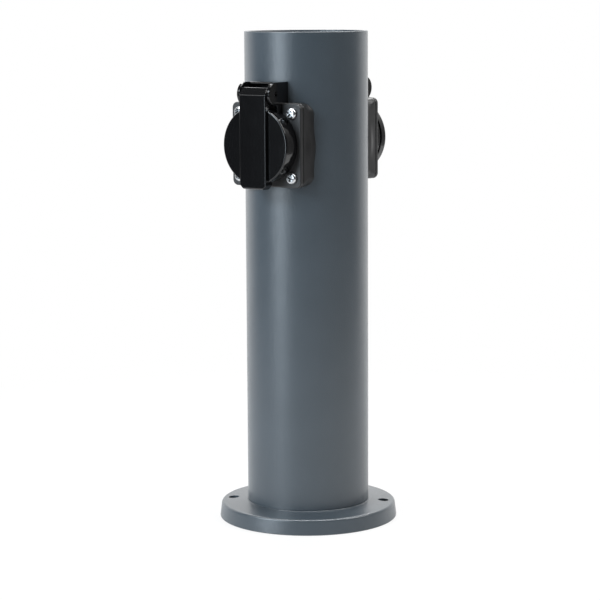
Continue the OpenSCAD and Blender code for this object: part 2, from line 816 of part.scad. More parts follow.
module earth_clip() {
    half = clip_w / 2;
    color(BRASS) difference() {
        union() {
            across(clip_w) clip_arm_side();
            mirror([0, 1, 0]) across(clip_w) clip_arm_side();
            translate([-half, earth_top - 1, carrier_back + slip])
                cube([clip_w, clip_in + clip_t - earth_top + 1, clip_t]);
            translate([-half, earth_top - earth_drop, carrier_back - 0.4])
                cube([clip_w, earth_drop, 2 * (wire_out - 2.6)]);
        }
        translate([0, earth_top - 1, wire_out]) rotate([90, 0, 0])
            cylinder(h = earth_drop, r = core_d / 2 + slip);
        translate([0, earth_top - earth_drop / 2, wire_out]) rotate([0, 90, 0])
            cylinder(h = clip_w, r = 1.2 + thread_clear);
    }
}

module clamp_screw(head_at) {
    tip = core_d / 2 + slip;
    translate([0, 0, head_at]) screw(2.4, head_at - tip, clamp_head_d, 1.6);
}

module terminal_screws() {
    color(ZINC) {
        clamp_screw_places() clamp_screw(terminal_half_w + slip);
        translate([0, earth_top - earth_drop / 2, wire_out]) rotate([0, 90, 0])
            clamp_screw(clip_w / 2 + slip);
    }
}

module flange_screws() {
    color(ZINC) for (x = [-1, 1], y = [-1, 1]) translate([x * screw_at, y * screw_at, plate_front])
        rotate([0, 0, x * 24 + y * 40]) screw(screw_d, screw_l, screw_head_d, screw_head_h);
}

module gasket_outline(grow) {
    difference() {
        rounded_square(plate_w - 2 * gasket_inset + 2 * grow, plate_corner_r);
        circle(cutout_r - grow);
    }
}

// Shell that follows the tube, under a gasket's outline
module saddle(r_in, r_out, grow) {
    intersection() {
        difference() {
            pillar_space(r_out);
            pillar_space(r_in);
        }
        linear_extrude(plate_back) gasket_outline(grow);
    }
}

module frame() {
    color(GREY) difference() {
        union() {
            linear_extrude(frame_front) rounded_square(plate_w, plate_corner_r);
            translate([-plate_w / 2 - pad_rise, -pad_h / 2, tube_r - 6])
                cube([plate_w + 2 * pad_rise, pad_h, 4]);
        }
        pillar_space(tube_r + slip);
        translate([0, 0, -eps]) cylinder(h = plate_back + eps, r = well_out_r + 5 * slip);
        plate_holes(screw_d / 2 + screw_clear, 0, plate_back);
        saddle(tube_r, tube_r + gasket_t + slip, 2 * slip);
        translate([0, 0, plate_back - gasket_t]) linear_extrude(gasket_t) gasket_outline(2 * slip);
    }
}

module frame_gasket() {
    color(RUBBER) difference() {
        saddle(tube_r + slip / 2, tube_r + gasket_t, 0);
        plate_holes(screw_d / 2 + screw_clear, 0, plate_back);
    }
}

module flange_gasket() {
    color(RUBBER) difference() {
        translate([0, 0, plate_back - gasket_t]) linear_extrude(gasket_t) gasket_outline(0);
        plate_holes(screw_d / 2 + screw_clear, 0, plate_back);
    }
}

module hinge_pin() {
    color(ZINC) translate([0, hinge_up, hinge_out]) rotate([0, 90, 0])
        cylinder(h = 2 * cheek_out - 1.2, r = pin_d / 2, center = true);
}

// Lid

// Strap seen from the side, open past its front face, where the end profile cuts it
module strap_side() {
    lip = 5.5;
    lip_back = lid_back + 0.5;
    end_slope = 1;
    slope_run = strap_top - slope_start;
    polygon([
        [-strap_drop, lip_back], [-strap_drop, strap_front - end_slope],
        [-strap_drop + end_slope + eps, strap_front + eps],
        [slope_start - eps * slope_run / slope_fall, strap_front + eps],
        [strap_top, strap_front - slope_fall], [strap_top, strap_back],
        [-strap_drop + lip, strap_back], [-strap_drop + lip - 1, lip_back]
    ]);
}

// Strap seen end on, with its long front edges rounded
module strap_section() {
    edge = strap_half - strap_edge_r;
    polygon(concat(
        [[-strap_half, lid_back], [strap_half, lid_back]],
        arc(edge, strap_front - strap_edge_r, strap_edge_r, 0, 90, 5),
        arc(-edge, strap_front - strap_edge_r, strap_edge_r, 90, 180, 5)
    ));
}

// What rounds off one lower corner of the strap
module strap_corner() {
    corner = 1.8;
    translate([strap_half - corner, -strap_drop - eps, lid_back]) difference() {
        cube([corner + eps, corner + eps, lid_h + strap_rise + eps]);
        translate([0, corner + eps, -eps]) cylinder(h = lid_h + strap_rise + 3 * eps, r = corner);
    }
}

module strap() {
    difference() {
        intersection() {
            across(strap_w + 2 * eps) strap_side();
            translate([0, strap_top + eps, 0]) rotate([90, 0, 0])
                linear_extrude(strap_drop + strap_top + 2 * eps) strap_section();
        }
        both_sides() strap_corner();
    }
}

module knuckle_side() {
    translate([hinge_up, hinge_out]) circle(knuckle_r);
    polygon([
        [hinge_up - knuckle_r, hinge_out], [hinge_up + knuckle_r, hinge_out],
        [strap_top, strap_back + 0.2], [hinge_up - knuckle_r - 1.6, strap_back + 0.2]
    ]);
}

module lid_disc() {
    edge = 0.9;
    rotate_extrude($fn = 144) polygon(concat(
        [[0, lid_back], [lid_d / 2, lid_back]],
        arc(lid_d / 2 - edge, lid_front - edge, edge, 0, 90, 5), [[0, lid_front]]
    ));
}

module lid_lug() {
    rotate([0, 0, -38]) translate([lid_d / 2 - 0.6, -1.3, lid_back]) cube([0.6 + lug_rise, 2.6, 2.4]);
}

module lid() {
    color(BLACK) difference() {
        union() {
            lid_disc();
            strap();
            lid_lug();
            both_sides() translate([strap_half - knuckle_w / 2, 0, 0]) across(knuckle_w) knuckle_side();
        }
        translate([0, 0, lid_back - eps]) cylinder(h = lid_h - lid_skin + eps, r = lid_d / 2 - lid_wall);
        translate([0, hinge_up, hinge_out]) rotate([0, 90, 0])
            cylinder(h = plate_w, r = pin_d / 2 + pin_clear, center = true);
    }
}

module lid_seal() {
    out_r = lid_d / 2 - lid_wall - slip;
    color(RUBBER) translate([0, 0, lid_back]) difference() {
        cylinder(h = lid_h - lid_skin - slip, r = out_r);
        translate([0, 0, -eps]) cylinder(h = lid_h, r = well_r + 0.2);
    }
}

// Spring round the hinge pin, with a leg to the lid's strap and a leg to the back wall
module lid_spring() {
    per_turn = 14;
    sides = 6;
    lean = 60;
    steps = spring_turns * per_turn;
    sweep = 360 * spring_turns + 180 - 2 * lean;
    r = spring_wire_d / 2;
    lid_leg = (strap_back - r - 0.2 - hinge_out - spring_r * cos(lean)) / sin(lean);
    wall_leg = (hinge_out - spring_r * cos(lean) - back_wall_front - r - 0.2) / sin(lean);
    length = spring_pitch * spring_turns;
    // Each entry holds the turn, the run along the tangent and the place along the pin
    stations = concat(
        [[lean, -lid_leg, -length / 2]],
        [for (i = [0:steps]) [lean + sweep * i / steps, 0, length * (i / steps - 0.5)]],
        [[lean + sweep, wall_leg, length / 2]]
    );
    points = [for (s = stations, k = [0:sides - 1]) let (
        a = s[0], q = 360 * k / sides, out = spring_r + r * cos(q)
    ) [
        s[2] + r * sin(q),
        hinge_up + out * sin(a) + s[1] * cos(a),
        hinge_out + out * cos(a) - s[1] * sin(a)
    ]];
    color(ZINC) polyhedron(points, skin_faces(len(stations), sides));
}

base_flange();
tube();
tube_nuts();
base_screws();
top_cap();
cap_seal();
gland_body();
gland_nut();
gland_seal();
gland_washer();
gland_locknut();
terminal_bracket();
bracket_screws();
terminal_block();
terminal_clamps();
block_screws();
earth_lug();
earth_screw();
brown_wires();
blue_wires();
earth_wires();
on_front() housing();  // front_housing
on_front() insert();  // front_insert
on_front() carrier();  // front_carrier
on_front() insert_cover();  // front_insert_cover
on_front() contacts();  // front_contacts
on_front() earth_clip();  // front_earth_clip
on_front() terminal_screws();  // front_terminal_screws
on_front() flange_screws();  // front_flange_screws
on_front() frame();  // front_frame
on_front() frame_gasket();  // front_frame_gasket
on_front() flange_gasket();  // front_flange_gasket
on_front() hinge_pin();  // front_hinge_pin
on_front() lid_spring();  // front_lid_spring
on_front() lid();  // front_lid
on_front() lid_seal();  // front_lid_seal
on_rear() housing();  // rear_housing
on_rear() insert();  // rear_insert
on_rear() carrier();  // rear_carrier
on_rear() insert_cover();  // rear_insert_cover
on_rear() contacts();  // rear_contacts
on_rear() earth_clip();  // rear_earth_clip
on_rear() terminal_screws();  // rear_terminal_screws
on_rear() flange_screws();  // rear_flange_screws
on_rear() frame();  // rear_frame
on_rear() frame_gasket();  // rear_frame_gasket
on_rear() flange_gasket();  // rear_flange_gasket
on_rear() hinge_pin();  // rear_hinge_pin
on_rear() lid_spring();  // rear_lid_spring
on_rear() lid();  // rear_lid
on_rear() lid_seal();  // rear_lid_seal
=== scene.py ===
"""Looks of the garden socket: a powder-coated pillar on a round base, with two lidded sockets.

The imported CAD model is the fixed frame. The pieces that show are built again here with rounded
edges, from sizes in millimetres that follow the solids' closely. Each rides on the CAD body that
it belongs to and stands for the node that it names. The other nodes keep their shape and get a
finish.
"""
import json
import math

import bmesh
import bpy
from mathutils import Matrix, Vector


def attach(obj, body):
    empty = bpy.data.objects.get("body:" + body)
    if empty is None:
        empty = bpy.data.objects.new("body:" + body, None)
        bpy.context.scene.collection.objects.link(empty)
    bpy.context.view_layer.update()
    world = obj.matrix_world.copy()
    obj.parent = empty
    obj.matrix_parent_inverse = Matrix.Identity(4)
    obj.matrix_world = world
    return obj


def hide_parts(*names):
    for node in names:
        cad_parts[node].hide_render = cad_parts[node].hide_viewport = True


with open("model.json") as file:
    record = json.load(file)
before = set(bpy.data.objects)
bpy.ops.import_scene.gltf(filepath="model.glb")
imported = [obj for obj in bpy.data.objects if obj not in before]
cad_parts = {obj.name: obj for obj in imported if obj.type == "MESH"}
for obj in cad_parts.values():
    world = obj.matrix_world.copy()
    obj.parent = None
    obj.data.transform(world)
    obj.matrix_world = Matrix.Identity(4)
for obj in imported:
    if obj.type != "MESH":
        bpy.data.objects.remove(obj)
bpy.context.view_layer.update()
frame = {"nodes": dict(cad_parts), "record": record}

MM = 0.001

# Pillar and base, in mm
TUBE_R, BORE_R, TUBE_LIP = 37.5, 35.5, 0.4
FOOT_Z, RIM_Z, SOCKET_Z = 11.0, 300.0, 233.5
CUTOUT_R, TUBE_SCREW_R = 22.2, 1.65
FLOOR_UNDER, FLOOR_TOP, CABLE_HOLE_R = 9.5, 12.5, 10.0
BASE_R, BASE_RIM_R, BASE_RIM_H, BASE_EDGE = 55.0, 54.0, 9.5, 1.6
BOLT_PCD, BOLT_R, BOLT_ANGLE = 94.0, 3.25, 29.0
BOSS_R, BOSS_LOW, BOSS_HIGH = 6.45, 0.02, 7.5
FOOT_SCREW_AT, FOOT_SCREW_R, FOOT_SCREW_ANGLES = 31.0, 2.3, (20, 160, 200, 340)
BRACKET_SCREW_X, BRACKET_SCREW_Y, BRACKET_SCREW_R = 8.0, 24.056, 2.05
CAP_TOP, CAP_T, CAP_EDGE = 298.5, 6.0, 0.6
CAP_GROOVE_R, CAP_GROOVE_LOW, CAP_GROOVE_HIGH = 33.15, 1.8, 4.2

# Socket sizes in mm; u runs across, w up, and d out from the pillar's axis
PLATE_W, PLATE_CORNER, PLATE_EDGE = 50.0, 3.5, 0.8
PLATE_BACK, PLATE_FRONT = 39.2, 41.9
FRAME_FRONT, FRAME_EDGE, FRAME_WALL, FRAME_SWELL = 39.0, 0.6, 1.8, 0.8
COLLAR_R, COLLAR_FRONT, COLLAR_EDGE = 22.5, 48.3, 0.5
WELL_R, WELL_OUT_R, WELL_FLOOR, INSERT_SEAT = 19.7, 21.5, 30.8, 28.6
RIB_IN, RIB_OUT, RIB_HALF, RIB_LOW, RIB_HIGH = 17.2, 21.0, 2.65, 30.9, 46.9
PIN_SPACING, PIN_BORE_R, CONTACT_R, CONTACT_TOP = 19.0, 2.45, 3.5, 29.3
CLIP_W, CLIP_IN, CLIP_OUT = 5.0, 17.0, 18.4
SCREW_AT, SCREW_CLEAR_R, SCREW_HEAD_R, SCREW_HEAD_H = 19.0, 1.9, 3.4, 2.4
HINGE_W, HINGE_D, HINGE_ROOT, PIN_R = 30.5, 48.0, 31.5, 1.5
CHEEK_IN, CHEEK_OUT, CHEEK_R = 9.7, 11.8, 6.9
HOOD_WALL, HOOD_FRONT, HOOD_EDGE, HOOD_FOOT = 1.8, 45.0, 0.9, 24.0

# Lid sizes in mm
LID_R, LID_BACK, LID_FRONT, LID_EDGE = 23.2, 48.5, 53.5, 0.9
LID_HOLLOW_R, LID_SKIN, SEAL_OUT_R, SEAL_FRONT = 21.6, 2.0, 21.5, 51.4
STRAP_HALF, STRAP_FRONT, STRAP_BACK, STRAP_EDGE = 9.5, 55.8, 51.7, 0.5
STRAP_LOW, STRAP_TOP, STRAP_BEND, STRAP_FALL = -25.5, 34.4, 30.3, 3.2
STRAP_CHAMFER, PANEL_DEPTH = 2.4, 0.12
KNUCKLE_R, KNUCKLE_W = 3.4, 4.7
LUG_HALF, LUG_H, LUG_ANGLE = 1.3, 2.4, -38

# Half lengths of cutters that pass right through the pillar or a hinge
THROUGH_PILLAR, THROUGH_HINGE = 60, 30

# Points closer than this become one, and edges over this angle stay crisp
WELD, CREASE_ANGLE = 0.0005, 32

PILLAR_PLACE = Matrix.Scale(MM, 4)
LEVEL = Matrix.Rotation(math.radians(90), 4, "X")
PIN_PLACE = Matrix.Translation((0, HINGE_W, HINGE_D)) @ Matrix.Rotation(math.radians(90), 4, "Y")
SCREW_SPOTS = [(x, y) for x in (-SCREW_AT, SCREW_AT) for y in (-SCREW_AT, SCREW_AT)]


# Outlines

def arc(cx, cy, r, start, end, steps):
    """Points along an arc, angles in degrees."""
    turn = [math.radians(start + (end - start) * i / steps) for i in range(steps + 1)]
    return [(cx + r * math.cos(a), cy + r * math.sin(a)) for a in turn]


def rect(left, right, low, high):
    return [(left, low), (right, low), (right, high), (left, high)]


def ring_spots(r, angles):
    """Points on a circle round the axis, angles in degrees."""
    return [(r * math.cos(a), r * math.sin(a)) for a in map(math.radians, angles)]


def both_sides(near, far):
    """The range from near to far, on the left and on the right."""
    return (-far, -near), (near, far)


def rounded_loop(half, corner, d, inset=0.0, bulge=None):
    """A rounded square of points at distance d, pulled in by inset.

    bulge(w) pushes its left and right sides out.
    """
    h, r = half - inset, max(corner - inset, 0.05)
    points = []
    for i, (sx, sy) in enumerate(((1, 1), (-1, 1), (-1, -1), (1, -1))):
        turned = arc(sx * (h - r), sy * (h - r), r, 90 * i, 90 * i + 90, 8)
        points += [(x, y, d) for x, y in turned]
        if bulge and i % 2:
            side = i - 2
            rows = [-side * (h - r) * (1 - k / 8) for k in range(1, 16)]
            points += [(side * (h + bulge(w)), w, d) for w in rows]
    return points


# Mesh tools

def mesh_object(name, bm):
    bmesh.ops.recalc_face_normals(bm, faces=bm.faces)
    mesh = bpy.data.meshes.new(name)
    bm.to_mesh(mesh)
    bm.free()
    obj = bpy.data.objects.new(name, mesh)
    bpy.context.scene.collection.objects.link(obj)
    return obj


def loft(name, loops):
    """A closed solid through loops of points, each loop with the same number of points."""
    bm = bmesh.new()
    rings = [[bm.verts.new(p) for p in loop] for loop in loops]
    n = len(rings[0])
    for low, high in zip(rings, rings[1:]):
        for i in range(n):
            bm.faces.new((low[i], low[(i + 1) % n], high[(i + 1) % n], high[i]))
    bm.faces.new(rings[0][::-1])
    bm.faces.new(rings[-1])
    return mesh_object(name, bm)


def lathe(name, profile, segments):
    """Revolves a closed (radius, height) profile about Z. Points at radius zero become poles."""
    bm = bmesh.new()
    turn = [2 * math.pi * i / segments for i in range(segments)]
    rings = []
    for r, h in profile:
        if r < 1e-6:
            rings.append([bm.verts.new((0, 0, h))] * segments)
        else:
            rings.append([bm.verts.new((r * math.cos(a), r * math.sin(a), h)) for a in turn])
    for low, high in zip(rings, rings[1:] + rings[:1]):
        for i in range(segments):
            corners = [low[i], low[(i + 1) % segments], high[(i + 1) % segments], high[i]]
            unique = list(dict.fromkeys(corners))
            if len(unique) > 2:
                bm.faces.new(unique)
    return mesh_object(name, bm)


def prism(name, outline, low, high, bevel=0.0):
    """Extrudes an outline in (w, d) across the socket, from u = low to u = high."""
    obj = loft(name, [[(u, w, d) for w, d in outline] for u in (low, high)])
    if bevel:
        rounding = obj.modifiers.new("rounding", "BEVEL")
        rounding.width = bevel
        rounding.segments = 3
        rounding.angle_limit = math.radians(35)
        bake(obj)
    return obj


def rod(x, y, r, low, high, segments=48, flare=0.0):
    """A cylinder along local Z, mostly for cutting; flare rounds and widens its upper mouth."""
    profile = [(0, low), (r, low)]
    if flare:
        above = high + 0.6
        profile += arc(r + flare, high - flare, flare, 180, 90, 5)
        profile += [(r + flare, above), (0, above)]
    else:
        profile += [(r, high), (0, high)]
    obj = lathe("rod", profile, segments)
    obj.data.transform(Matrix.Translation((x, y, 0)))
    return obj


def bake(obj):
    """Applies an object's modifiers."""
    graph = bpy.context.evaluated_depsgraph_get()
    mesh = bpy.data.meshes.new_from_object(obj.evaluated_get(graph))
    old = obj.data
    obj.modifiers.clear()
    obj.data = mesh
    bpy.data.meshes.remove(old)
    mesh.name = obj.name


def boolean(obj, other, operation):
    """Combines obj with another solid, which is used up."""
    step = obj.modifiers.new("step", "BOOLEAN")
    step.solver = "EXACT"
    step.operation = operation
    step.object = other
    bake(obj)
    bpy.data.objects.remove(other)


def join(obj, *others):
    for other in others:
        boolean(obj, other, "UNION")


def cut(obj, *others):
    for other in others:
        boolean(obj, other, "DIFFERENCE")


def smooth(obj):
    """Smooth shading with crisp edges, and flat faces kept flat beside their rounded edges."""
    bm = bmesh.new()
    bm.from_mesh(obj.data)
    bmesh.ops.remove_doubles(bm, verts=bm.verts, dist=WELD)
    bmesh.ops.dissolve_degenerate(bm, edges=bm.edges, dist=WELD)
    bm.to_mesh(obj.data)
    bm.free()
    obj.data.shade_smooth()
    obj.data.set_sharp_from_angle(angle=math.radians(CREASE_ANGLE))
    weighted = obj.modifiers.new("weighted", "WEIGHTED_NORMAL")
    weighted.keep_sharp = True
    bake(obj)


def socket_place(side):
    """From a socket's own (u, w, d) in mm to the row frame in metres."""
    front = Matrix.Translation((0, 0, SOCKET_Z)) @ LEVEL
    turn = Matrix.Identity(4) if side == "front" else Matrix.Rotation(math.pi, 4, "Z")
    return Matrix.Scale(MM, 4) @ turn @ front


def finish_piece(obj, name, place, body, slot, *nodes):
    """Puts a piece in its place with its finish, its body and the nodes that it stands for."""
    smooth(obj)
    obj.data.transform(place)
    obj.name = obj.data.name = name
    obj.data.materials.clear()
    obj.data.materials.append(FINISH[slot])
    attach(obj, body)
    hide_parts(*nodes)


# Shader tools

def feed(tree, socket, value):
    """Sets a number or a colour on a socket, or links a value to it."""
    if isinstance(value, tuple):
        socket.default_value = (*value, 1)
    elif isinstance(value, (int, float)):
        socket.default_value = value
    else:
        tree.links.new(value, socket)


def map_range(tree, value, start, end, low, high):
    """Maps a value that runs from start to end to one from low to high."""
    node = tree.nodes.new("ShaderNodeMapRange")
    names = ("Value", "From Min", "From Max", "To Min", "To Max")
    for name, number in zip(names, (value, start, end, low, high)):
        feed(tree, node.inputs[name], number)
    return node.outputs["Result"]


def combine(tree, operation, first, second):
    """A Math node of two values."""
    node = tree.nodes.new("ShaderNodeMath")
    node.operation = operation
    feed(tree, node.inputs[0], first)
    feed(tree, node.inputs[1], second)
    return node.outputs["Value"]


def mix(tree, kind, factor, first, second):
    """Goes from the first value to the second by a factor; kind is RGBA or FLOAT."""
    node = tree.nodes.new("ShaderNodeMix")
    node.data_type = kind
    feed(tree, node.inputs["Factor"], factor)
    socket_type = "RGBA" if kind == "RGBA" else "VALUE"
    named = [s for s in node.inputs if s.type == socket_type and s.name in ("A", "B")]
    for socket, value in zip(named, (first, second)):
        feed(tree, socket, value)
    return [s for s in node.outputs if s.type == socket_type][0]


# Finishes

def new_finish(name, color, roughness, metallic=0.0):
    """A material with its shader and object coordinates, ready for detail."""
    mat = bpy.data.materials.new(name)
    mat.use_nodes = True
    shader = mat.node_tree.nodes["Principled BSDF"]
    shader.inputs["Base Color"].default_value = (*color, 1)
    shader.inputs["Roughness"].default_value = roughness
    shader.inputs["Metallic"].default_value = metallic
    mat.node_tree.nodes.new("ShaderNodeTexCoord")
    return mat


def noise(mat, scale, detail, stretch=None):
    """Noise in object space, with scale in features per metre; stretch multiplies it per axis."""
    tree = mat.node_tree
    coords = tree.nodes["Texture Coordinate"].outputs["Object"]
    if stretch:
        mapping = tree.nodes.new("ShaderNodeMapping")
        mapping.inputs["Scale"].default_value = stretch
        tree.links.new(coords, mapping.inputs["Vector"])
        coords = mapping.outputs["Vector"]
    texture = tree.nodes.new("ShaderNodeTexNoise")
    texture.inputs["Scale"].default_value = scale
    texture.inputs["Detail"].default_value = detail
    tree.links.new(coords, texture.inputs["Vector"])
    return texture.outputs["Fac"]


def spread(mat, value, low, high, start=0.3, end=0.7):
    """Maps a noise value to a range."""
    return map_range(mat.node_tree, value, start, end, low, high)


def blend(mat, factor, first, second):
    """Mixes two colours by a factor."""
    return mix(mat.node_tree, "RGBA", factor, first, second)


def shaded(color, share):
    return tuple(c * share for c in color)


def wire_up(mat, color, roughness, bumps):
    """Links colour and roughness to the shader, and stacks its bumps.

    Each bump is (value, height in mm, strength).
    """
    tree = mat.node_tree
    shader = tree.nodes["Principled BSDF"]
    tree.links.new(color, shader.inputs["Base Color"])
    tree.links.new(roughness, shader.inputs["Roughness"])
    normal = None
    for value, height, strength in bumps:
        bump = tree.nodes.new("ShaderNodeBump")
        bump.inputs["Distance"].default_value = height * MM
        bump.inputs["Strength"].default_value = strength
        tree.links.new(value, bump.inputs["Height"])
        if normal:
            tree.links.new(normal, bump.inputs["Normal"])
        normal = bump.outputs["Normal"]
    tree.links.new(normal, shader.inputs["Normal"])
    return mat


def powder_coat():
    """Fine-textured powder coat: grains near half a millimetre and a gentle orange peel."""
    color = (0.046, 0.058, 0.069)
    mat = new_finish("powder_coat", color, 0.3)
    mat.node_tree.nodes["Principled BSDF"].inputs["IOR"].default_value = 1.6
    tone = spread(mat, noise(mat, 35, 3), 0, 1)
    fleck = spread(mat, noise(mat, 2400, 1), 0, 1)
    coat = blend(mat, tone, shaded(color, 0.95), shaded(color, 1.06))
    coat = blend(mat, spread(mat, fleck, 0.0, 0.35, 0, 1), coat, shaded(color, 1.25))
    rough = spread(mat, noise(mat, 60, 1), 0.285, 0.315, 0.2, 0.8)
    grain, peel = noise(mat, 2300, 2), noise(mat, 700, 1.5)
    return wire_up(mat, coat, rough, [(peel, 0.02, 0.3), (grain, 0.08, 1.0)])


def moulded(name, color, roughness, grain_scale, grain_height, vary=0.05):
    """Moulded plastic or rubber: tool texture in the grain and slow changes of gloss."""
    mat = new_finish(name, color, roughness)
    tone = spread(mat, noise(mat, 90, 4), 0, 1)
    body = blend(mat, tone, shaded(color, 0.88), shaded(color, 1.12))
    rough = spread(mat, noise(mat, 55, 5), roughness - vary, roughness + vary)
    wave, grain = noise(mat, 60, 2), noise(mat, grain_scale, 2)
    return wire_up(mat, body, rough, [(wave, 0.02, 0.3), (grain, grain_height, 0.6)])


def plated(name, color, roughness):
    """Zinc plate: cloudy gloss with fine tumbling marks."""
    mat = new_finish(name, color, roughness, metallic=1.0)
    cloud = spread(mat, noise(mat, 700, 4), 0, 1)
    body = blend(mat, cloud, shaded(color, 0.82), shaded(color, 1.08))
    rough = spread(mat, noise(mat, 1500, 3), roughness - 0.05, roughness + 0.06)
    return wire_up(mat, body, rough, [(noise(mat, 2600, 3), 0.008, 0.4)])


def drawn_brass():
    """Brass strip with draw lines and a little tarnish."""
    color = (0.62, 0.44, 0.18)
    mat = new_finish("drawn_brass", color, 0.3, metallic=1.0)
    tarnish = spread(mat, noise(mat, 260, 4), 0, 1)
    body = blend(mat, tarnish, shaded(color, 0.7), color)
    lines = noise(mat, 3000, 2, (1, 0.04, 1))
    rough = spread(mat, noise(mat, 500, 3), 0.24, 0.4)
    return wire_up(mat, body, rough, [(lines, 0.02, 0.5)])


def wire_insulation(name, color, stripe=None):
    """PVC insulation, dull, with a stripe down one side where it has one."""
    mat = new_finish(name, color, 0.45)
    tone = spread(mat, noise(mat, 300, 3), 0, 1)
    body = blend(mat, tone, shaded(color, 0.88), shaded(color, 1.1))
    if stripe:
        tree = mat.node_tree
        split = tree.nodes.new("ShaderNodeSeparateXYZ")
        coords = tree.nodes["Texture Coordinate"].outputs["Object"]
        tree.links.new(coords, split.inputs["Vector"])
        edge = 0.00005
        body = blend(mat, spread(mat, split.outputs["X"], 0, 1, -edge, edge), body, stripe)
    rough = spread(mat, noise(mat, 400, 2), 0.4, 0.52)
    return wire_up(mat, body, rough, [(noise(mat, 1200, 2), 0.02, 0.4)])


FINISH = {
    "powder_coat": powder_coat(),
    "black_plastic": moulded(
        "black_plastic", (0.0038, 0.0038, 0.0042), 0.12, 1600, 0.002, 0.015,
    ),
    "plate_plastic": moulded("plate_plastic", (0.016, 0.016, 0.0165), 0.46, 1500, 0.02),
    "frame_plastic": moulded("frame_plastic", (0.0085, 0.0085, 0.009), 0.42, 1500, 0.015),
    "white_plastic": moulded("white_plastic", (0.68, 0.67, 0.63), 0.42, 1300, 0.01),
    "black_rubber": moulded("black_rubber", (0.016, 0.016, 0.016), 0.68, 1100, 0.03),
    "zinc": plated("zinc_plate", (0.62, 0.63, 0.64), 0.27),
    "brass": drawn_brass(),
    "brown_pvc": wire_insulation("brown_pvc", (0.14, 0.055, 0.022)),
    "blue_pvc": wire_insulation("blue_pvc", (0.03, 0.12, 0.42)),
    "green_yellow_pvc": wire_insulation(
        "green_yellow_pvc", (0.05, 0.3, 0.03), stripe=(0.7, 0.55, 0.03),
    ),
}


# Pillar

def build_tube():
    lip, soft = TUBE_LIP, 0.2
    heights = (60, 120, 180, 290)
    profile = [(BORE_R, FOOT_Z + soft), (BORE_R + soft, FOOT_Z)]
    profile += [(TUBE_R - soft, FOOT_Z), (TUBE_R, FOOT_Z + soft)]
    profile += [(TUBE_R, z) for z in heights]
    profile += arc(TUBE_R - lip, RIM_Z - lip, lip, 0, 90, 4)
    profile += arc(BORE_R + lip, RIM_Z - lip, lip, 90, 180, 4)
    profile += [(BORE_R, z) for z in reversed(heights)]
    tube = lathe("tube", profile, 256)
    reach = THROUGH_PILLAR
    holes = [rod(0, 0, CUTOUT_R, -reach, reach, 96)]
    holes += [rod(x, y, TUBE_SCREW_R, -reach, reach, 24) for x, y in SCREW_SPOTS]
    for hole in holes:
        hole.data.transform(Matrix.Translation((0, 0, SOCKET_Z)) @ LEVEL)
    cut(tube, *holes)
    finish_piece(tube, "pillar_tube", PILLAR_PLACE, "pillar", "powder_coat", "tube")


def build_base():
    # Hub, upper face, rounded rim, foot and hollow underside, in turn
    hub_r, soft = BORE_R - 0.2, 0.3
    profile = [(CABLE_HOLE_R, FLOOR_UNDER), (CABLE_HOLE_R, FLOOR_TOP)]
    profile += [(hub_r - soft, FLOOR_TOP), (hub_r, FLOOR_TOP - soft), (hub_r, FOOT_Z)]
    profile += arc(TUBE_R + 0.5, FOOT_Z - soft, soft, 90, 10, 5)
    profile += [(TUBE_R + 1.1, FOOT_Z - 0.42)]
    profile += arc(BASE_RIM_R - BASE_EDGE, BASE_RIM_H - BASE_EDGE, BASE_EDGE, 86, 3, 12)
    profile += arc(BASE_R - 0.65, 0.6, 0.6, 3, -90, 5)
    profile += [(52, 0), (51, 5.0), (49.5, 6.5), (38.5, 8.0), (BORE_R, FLOOR_UNDER)]
    base = lathe("base", profile, 256)

    bolts = ring_spots(BOLT_PCD / 2, (BOLT_ANGLE, BOLT_ANGLE + 180))
    join(base, *[rod(x, y, BOSS_R, BOSS_LOW, BOSS_HIGH) for x, y in bolts])
    cut(base, *[rod(x, y, BOLT_R, -1, 10.2, 48, 0.5) for x, y in bolts])
    feet = ring_spots(FOOT_SCREW_AT, FOOT_SCREW_ANGLES)
    cut(base, *[rod(x, y, FOOT_SCREW_R, 5, 15, 24) for x, y in feet])
    for x in (-BRACKET_SCREW_X, BRACKET_SCREW_X):
        cut(base, rod(x, BRACKET_SCREW_Y, BRACKET_SCREW_R, 5, 15, 24))
    finish_piece(base, "pillar_base", PILLAR_PLACE, "pillar", "powder_coat", "base_flange")


def build_cap():
    r, low, soft = BORE_R - 0.1, CAP_TOP - CAP_T, 0.3
    groove_low, groove_high = low + CAP_GROOVE_LOW, low + CAP_GROOVE_HIGH
    profile = [(0, low), (r - soft, low), (r, low + soft), (r, groove_low)]
    profile += [(CAP_GROOVE_R, groove_low), (CAP_GROOVE_R, groove_high), (r, groove_high)]
    profile += arc(r - CAP_EDGE, CAP_TOP - CAP_EDGE, CAP_EDGE, 0, 90, 5) + [(0, CAP_TOP)]
    cap = lathe("cap", profile, 192)
    finish_piece(cap, "pillar_cap", PILLAR_PLACE, "pillar", "powder_coat", "top_cap")


# Socket body and frame

def cheek_outline():
    """Side of a hinge cheek with its web down to the collar, as (w, d)."""
    low, high = HINGE_W - CHEEK_R, HINGE_W + CHEEK_R
    web_low, web_front, plate = WELL_R - 2, COLLAR_FRONT - 1.8, PLATE_BACK + 1
    return [
        (web_low, plate), (web_low, web_front), (low, web_front),
        *arc(HINGE_W, HINGE_D, CHEEK_R, 180, 0, 24),
        (high, HINGE_ROOT), (low, HINGE_ROOT), (low, plate),
    ]


